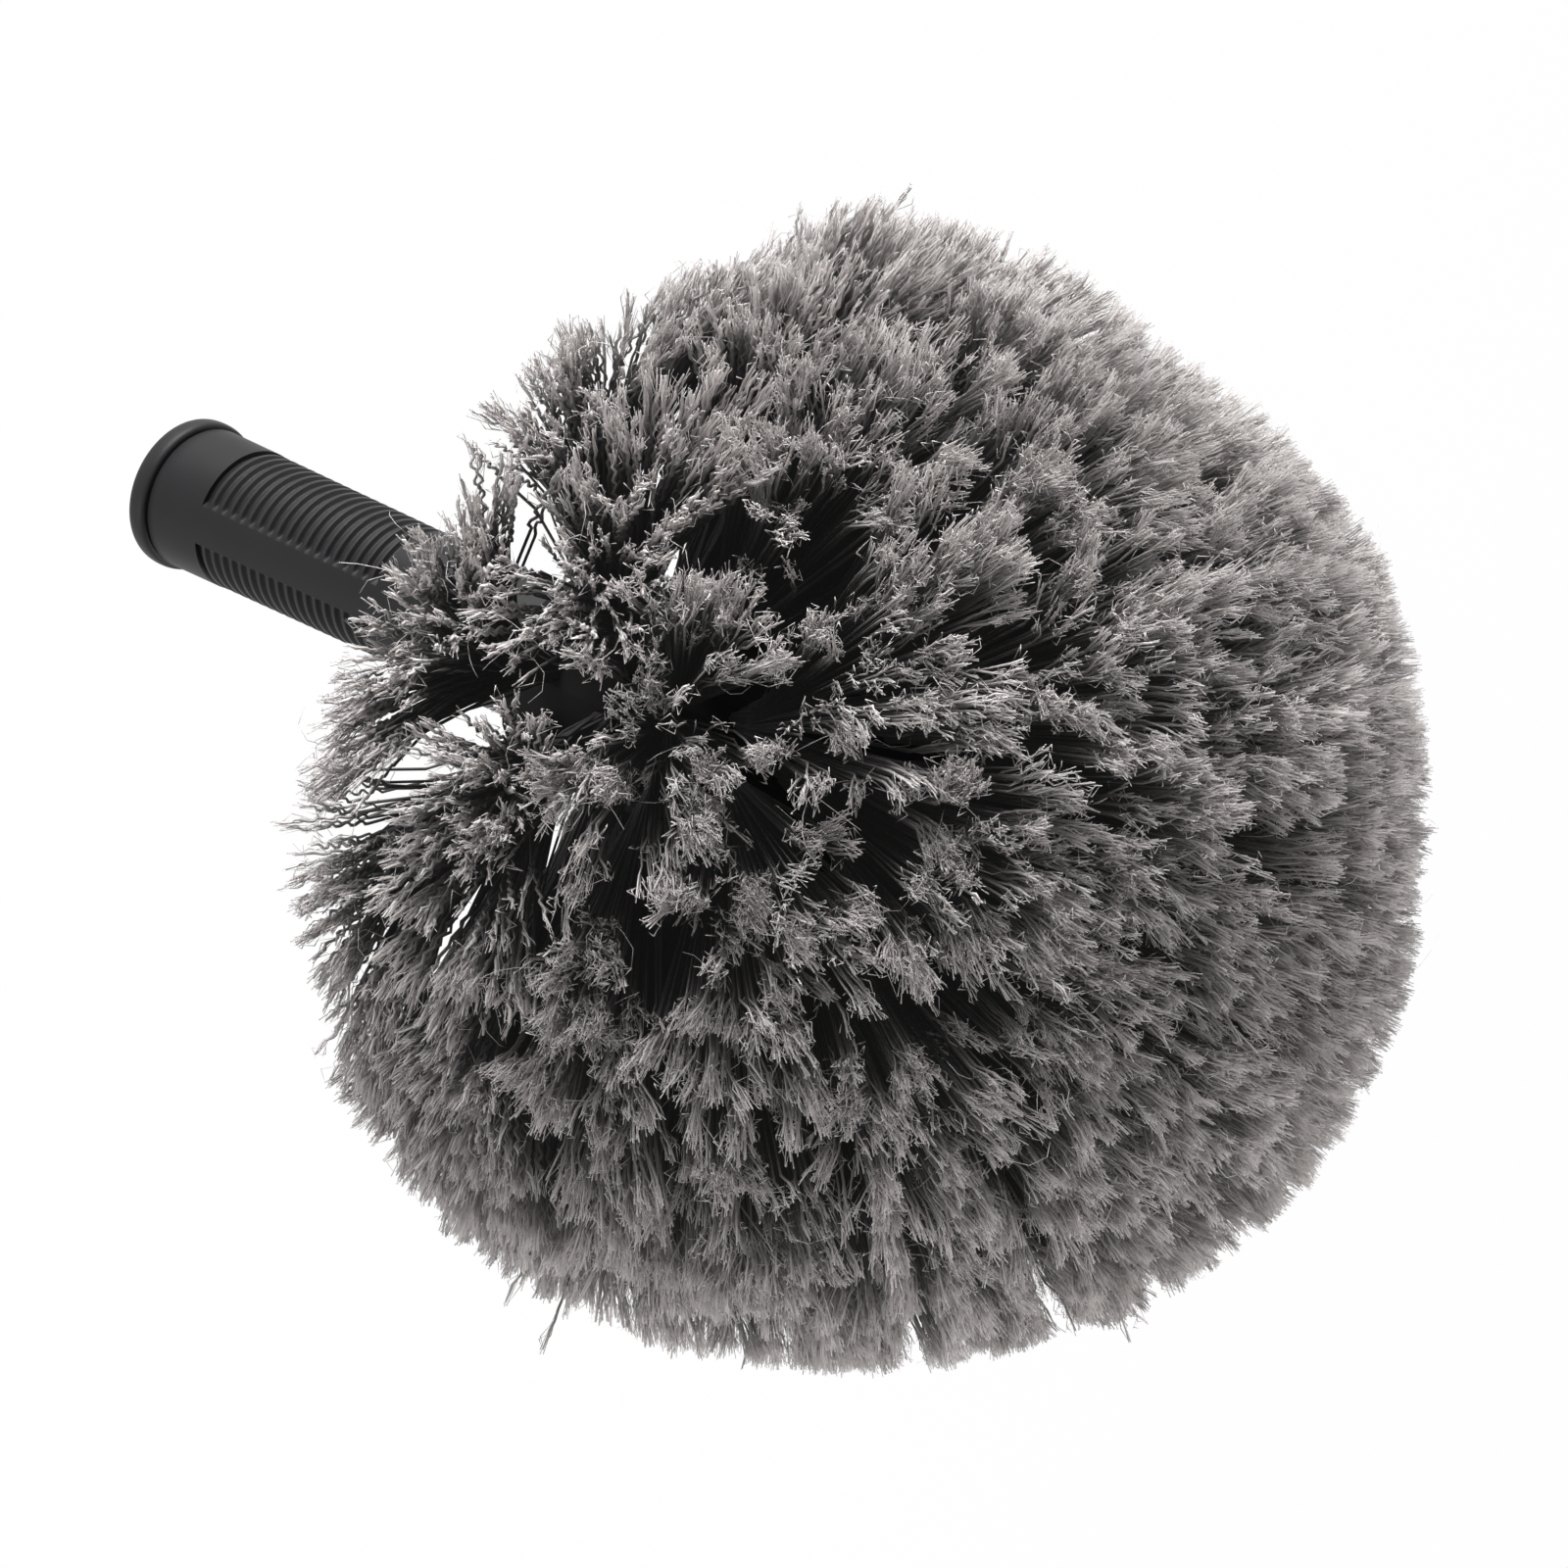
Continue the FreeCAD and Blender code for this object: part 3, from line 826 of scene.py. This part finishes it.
def strandMesh(points, radii, tone, back, sideOne, sideTwo):
    # a three-sided skin round each line; an end whose radius is nothing is a point, any other is blunt
    count, levels = points.shape[:2]
    corner = np.arange(3) * 2 * math.pi / 3
    section = sideOne[:, None] * np.cos(corner)[:, None] + sideTwo[:, None] * np.sin(corner)[:, None]
    rings = points[:, :, None] + radii[..., None, None] * section[:, None]
    width = crimpPlan["mapWidth"]
    left = tone.clip(0, 1)[:, None] * (1 - width) + width * np.arange(3) / 3
    right = left + width / 3
    up = 1 - back.clip(0) / crimpPlan["mapLength"]
    first, last = int(radii[0, 0] == 0), levels - int(radii[0, -1] == 0)
    skin = rings[:, first:last].reshape(count, -1, 3)
    vertices = np.concatenate((points[:, :first], skin, points[:, last:]), 1)
    index = first + np.arange((last - first) * 3).reshape(-1, 3)
    beside = np.roll(index, -1, axis=1)
    quads = np.stack((index[:-1], beside[:-1], beside[1:], index[1:]), -1).reshape(-1, 4)
    low = np.repeat(up[:, first:last - 1, None], 3, axis=2)
    high = np.repeat(up[:, first + 1:last, None], 3, axis=2)
    across = [np.broadcast_to(side[:, None], low.shape) for side in (left, right)]
    quadMap = np.stack((across[0], low, across[1], low, across[1], high, across[0], high), -1)
    # the two ends: a fan to a point, or one flat face
    fans, fanMaps = [], []
    for end, level, nearest in ((0, 0, first), (-1, levels - 1, last - 1)):
        order = (1, 0) if end == 0 else (0, 1)
        ringUp = np.repeat(up[:, nearest:nearest + 1], 3, axis=1)
        if level == nearest:
            fans.append(index[end][None, ::-1] if end == 0 else index[end][None])
            fanMaps.append(np.stack((left, ringUp - np.array((0.0, 0.01, 0.0))), -1)[:, None])
        else:
            rim = [(index[end], beside[end])[side] for side in order]
            fans.append(np.stack((np.full(3, end % vertices.shape[1]), *rim), -1))
            pointUp = np.repeat(up[:, level:level + 1], 3, axis=1)
            sides = [(left, right)[side] for side in order]
            skirt = np.stack(((left + right) / 2, pointUp, sides[0], ringUp, sides[1], ringUp), -1)
            fanMaps.append(skirt.reshape(count, 3, 3, 2))
    shift = (np.arange(count) * vertices.shape[1])[:, None, None]
    faces = [(part + shift).reshape(-1, part.shape[1]) for part in (quads, np.concatenate(fans))]
    maps = [part.reshape(-1, 2) for part in (quadMap, np.concatenate(fanMaps, 1))]
    return vertices.reshape(-1, 3), faces, maps


def makeTufts(name, node, ring, indices, material):
    vertices, faces, maps = [], ([], []), ([], [])
    start = 0
    for index in indices:
        for lines in filamentLines(ring, index):
            points, parts, places = strandMesh(*lines)
            vertices.append(points)
            for kind in range(2):
                faces[kind].append(parts[kind] + start)
                maps[kind].append(places[kind])
            start += len(points)
    quads, triangles = (np.concatenate(kind) for kind in faces)
    uvs = np.concatenate(maps[0] + maps[1])
    meshPiece(name, np.concatenate(vertices), [quads, triangles], material, [node], uvs=uvs)
    made = 2 * len(quads) + len(triangles)
    print(name, "made,", made, "triangles")
    return made


# Finishes
handleLook = {
    "dark": (0.0100, 0.0094, 0.0103, 1.0),
    "light": (0.0150, 0.0141, 0.0155, 1.0),
    "rubbed": (0.042, 0.040, 0.042, 1.0),
    "rubAmount": 0.25,
    "rubLeast": 0.4,  # a crest is rubbed by this share at least, and by the mottling above it
    "rubGloss": 0.06,
    "dullPatches": 0.16,
    "mottleScale": 70.0,
    "grainScale": 2600.0,
    "grainStrength": 0.25,
    "grainDepth": 0.0001,
    "roughness": 0.42,
    "specular": 0.20,
    "glow": grey(0.0),
}
# the core is painted darker than the handle, painted shade for its depth among the tufts, and a painted
# glow stands in for the light that the filaments round it pass on
coreLook = dict(
    handleLook, dark=grey(0.007), light=grey(0.011), roughness=0.65, specular=0.07, glow=grey(0.0015)
)
steelLook = {
    "dark": grey(0.30),
    "light": grey(0.48),
    "streakScale": (900.0, 900.0, 60.0),
    "patchScale": 260.0,
    "roughness": 0.24,
    "dullStreaks": 0.22,
}
wireLook = dict(steelLook, dark=grey(0.36, 0.05), light=grey(0.55, 0.04), patchScale=420.0)

handlePlastic = mouldedPlastic("handlePlastic", handleLook)
corePlastic = mouldedPlastic("corePlastic", coreLook)
screwSteel = drawnMetal("screwSteel", steelLook)
anchorWire = drawnMetal("anchorWire", wireLook)
bristle = filamentMaterial(filamentLook)

makeHandle(handleShape, handlePlastic)
triangleCount = 0
for ring, count in enumerate(tuftPlan["ringCounts"]):
    pieces = math.ceil(count / tuftPlan["tuftsInPiece"])
    for number, indices in enumerate(np.array_split(np.arange(count), pieces), 1):
        name = "tuftRing%d_%d" % (ring, number) if ring else "tipTuft"
        node = "tuft_ring_%d" % ring if ring else "tip_tuft"
        triangleCount += makeTufts(name, node, ring, indices, bristle)
print("tufts made,", triangleCount, "triangles in all")

finishes = {"tuft_core": corePlastic, "fixing_screw": screwSteel, "screw_washer": screwSteel}
for name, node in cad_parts.items():
    finish = anchorWire if "anchor" in name else finishes.get(name)
    if finish:
        node.data.materials.clear()
        node.data.materials.append(finish)
print("finishes set")

# Camera, at the photograph's angle: the axis points right and down in the picture
photoView = {
    "tilt": 60.0,  # degrees between the brush's axis and the line of sight
    "turn": -21.4,
    "roll": 25.0,
    "distance": 0.507,
    "lens": 67.2,
    "sensor": 36.0,
    "ballRight": 62 / 2986,  # the ball's place in the frame, as a share of the distance
    "ballUp": -12 / 2986,
}


def viewAxes(view):
    tilt, turn, roll = (math.radians(view[name]) for name in ("tilt", "turn", "roll"))
    out = math.sin(tilt)
    toCamera = np.array((out * math.cos(turn), out * math.sin(turn), math.cos(tilt)))
    aroundAxis = np.array((-math.sin(turn), math.cos(turn), 0.0))
    rise = (np.array((0.0, 0.0, 1.0)) - math.cos(tilt) * toCamera) / out
    right = math.cos(roll) * rise - math.sin(roll) * aroundAxis
    up = -math.sin(roll) * rise - math.cos(roll) * aroundAxis
    return right, up, toCamera


def placed(right, up, back, place):
    matrix = Matrix.Identity(4)
    for column, vector in enumerate((right, up, back, place)):
        for row in range(3):
            matrix[row][column] = vector[row]
    return matrix


right, up, toCamera = viewAxes(photoView)
lensData = bpy.data.cameras.new("photoCamera")
lensData.lens = photoView["lens"]
lensData.sensor_width = photoView["sensor"]
lensData.clip_start = 0.01
camera = bpy.data.objects.new("photoCamera", lensData)
offset = toCamera - right * photoView["ballRight"] - up * photoView["ballUp"]
camera.matrix_world = placed(right, up, toCamera, ballCentre + photoView["distance"] * offset)
bpy.context.scene.collection.objects.link(camera)
bpy.context.scene.camera = camera

# Studio: pale floor well below the brush, soft lamps, white surroundings
studio = {
    "floorHeight": -0.3,
    "floorSize": 6.0,
    "floorSteps": 7,
    "floorColour": grey(0.9),
    "floorGlow": 0.985,
    "worldFill": 0.43,
    "lamps": (
        # place to the right, up and towards the camera, size and power
        ("keyLamp", (-0.32, 1.00, 0.12), 1.0, 54.0),
        ("fillLamp", (-0.95, -0.25, 0.15), 0.7, 8.0),
        ("rimLamp", (0.75, -0.70, -0.25), 0.8, 9.0),
    ),
}


def makeLamp(name, place, size, power):
    data = bpy.data.lights.new(name, "AREA")
    data.shape = "DISK"
    data.size = size
    data.energy = power
    lamp = bpy.data.objects.new(name, data)
    spot = ballCentre + place[0] * right + place[1] * up + place[2] * toCamera
    back = unit(spot - ballCentre)
    side = unit(np.cross(up, back))
    lamp.matrix_world = placed(side, np.cross(back, side), back, spot)
    bpy.context.scene.collection.objects.link(lamp)


def seenRays(wires):
    # one for rays that show the surroundings: from the camera, off gloss or through glass
    path = wires.node("ShaderNodeLightPath")
    seen = path.out("Is Camera Ray") + path.out("Is Glossy Ray") + path.out("Is Transmission Ray")
    return wires.node("ShaderNodeMath", {"operation": "MINIMUM"}, {0: seen, 1: 1.0})


def makeFloor():
    half = studio["floorSize"] / 2
    steps = np.linspace(-half, half, studio["floorSteps"])
    across, along = np.meshgrid(steps, steps)
    points = np.stack((across, along, np.full_like(across, studio["floorHeight"])), -1).reshape(-1, 3)
    index = np.arange(len(points)).reshape(across.shape)
    quads = np.stack((index[:-1, :-1], index[:-1, 1:], index[1:, 1:], index[1:, :-1]), -1).reshape(-1, 4)
    mesh = bpy.data.meshes.new("floor")
    mesh.from_pydata(points.tolist(), [], quads.tolist())
    material, wires = newMaterial("paleFloor")
    matt = wires.node("ShaderNodeBsdfDiffuse", None, {"Color": studio["floorColour"]})
    glow = wires.node("ShaderNodeEmission", None, {"Color": grey(1.0), "Strength": 1.0})
    share = seenRays(wires) * studio["floorGlow"]
    surface = wires.node("ShaderNodeMixShader", None, {0: share, 1: matt, 2: glow})
    wires.node("ShaderNodeOutputMaterial", None, {"Surface": surface})
    mesh.materials.append(material)
    floor = bpy.data.objects.new("floor", mesh)
    bpy.context.scene.collection.objects.link(floor)


def makeWorld():
    world = bpy.data.worlds.new("studio")
    world.use_nodes = True
    world.node_tree.nodes.clear()
    wires = Wire(world.node_tree)
    strength = studio["worldFill"] + (1 - studio["worldFill"]) * seenRays(wires)
    back = wires.node("ShaderNodeBackground", None, {"Color": grey(1.0), "Strength": strength})
    wires.node("ShaderNodeOutputWorld", None, {"Surface": back})
    bpy.context.scene.world = world


makeFloor()
makeWorld()
for lampFacts in studio["lamps"]:
    makeLamp(*lampFacts)
bpy.context.scene.view_settings.view_transform = "Standard"
print("studio set")
